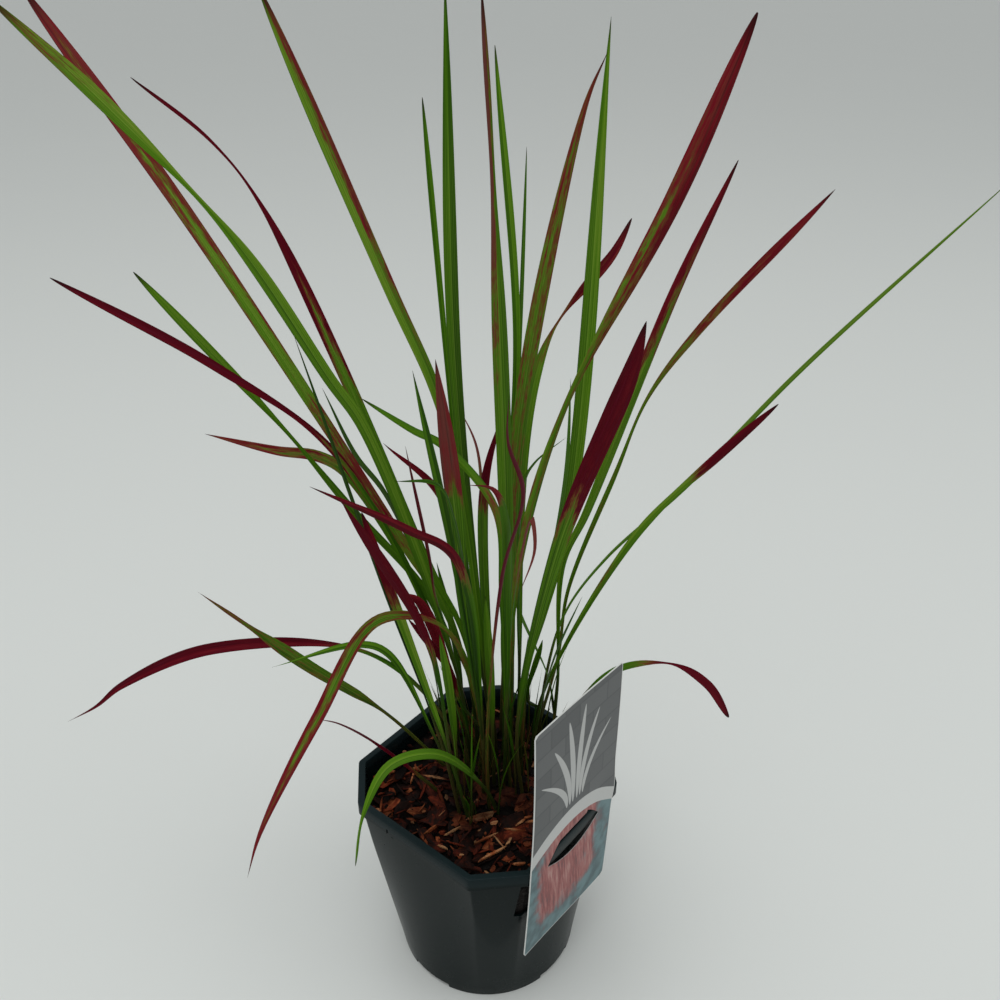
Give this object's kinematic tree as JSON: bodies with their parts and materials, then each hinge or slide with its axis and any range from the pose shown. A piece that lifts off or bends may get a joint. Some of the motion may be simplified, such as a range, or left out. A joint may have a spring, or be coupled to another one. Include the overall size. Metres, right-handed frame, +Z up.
{
  "type": "potted japanese blood grass",
  "caption": "Clump of narrow upright grass blades, green below and crimson above, in a dark nursery pot with bark mulch and a hang card.",
  "frame": {"origin": "centre of the pot's base, on the surface that the pot stands on", "axes": "+Z up out of the pot; +Y away from the viewer who faces the pot's front corner side, +X to that viewer's right"},
  "size_m": [0.512, 0.26, 0.595],
  "materials": {
    "pot": "satin charcoal moulded plastic with a slight blue-green cast",
    "potting_mix": "dark moist potting mix of bark and peat",
    "bark": "matte red-brown bark chips with a few pale wood slivers",
    "card": null,
    "grass_green": "fresh green grass blade, ribbed lengthwise, satin",
    "grass_crimson": "grass blade that turns from green to crimson, ribbed lengthwise, satin"
  },
  "bodies": {
    "root": {"pot": "pot", "potting_mix": "potting_mix", "bark_mulch": "bark", "hang_card": "card", "leafy_stem_01": "grass_green", "leafy_stem_02": "grass_green", "leafy_stem_03": "grass_green", "leafy_stem_04": "grass_green", "leafy_stem_05": "grass_green", "leafy_stem_06": "grass_crimson", "leafy_stem_07": "grass_green", "leafy_stem_08": "grass_crimson", "leafy_stem_09": "grass_green", "leafy_stem_10": "grass_crimson", "leafy_stem_11": "grass_crimson", "leafy_stem_12": "grass_green", "leafy_stem_13": "grass_green", "leafy_stem_14": "grass_crimson", "leafy_stem_15": "grass_green", "leafy_stem_16": "grass_green", "leafy_stem_17": "grass_green", "leafy_stem_18": "grass_green", "leafy_stem_19": "grass_crimson", "leafy_stem_20": "grass_crimson", "leafy_stem_21": "grass_green", "leafy_stem_22": "grass_crimson", "leafy_stem_23": "grass_green", "leafy_stem_24": "grass_green", "leafy_stem_25": "grass_crimson", "leafy_stem_26": "grass_crimson", "leafy_stem_27": "grass_crimson", "leafy_stem_28": "grass_crimson", "leafy_stem_29": "grass_green", "leafy_stem_30": "grass_green", "leafy_stem_31": "grass_green", "leafy_stem_32": "grass_green", "leafy_stem_33": "grass_green", "leafy_stem_34": "grass_green", "leafy_stem_35": "grass_green", "leafy_stem_36": "grass_green", "leafy_stem_37": "grass_green", "leafy_stem_38": "grass_green", "leafy_stem_39": "grass_green"}
  },
  "joints": []
}
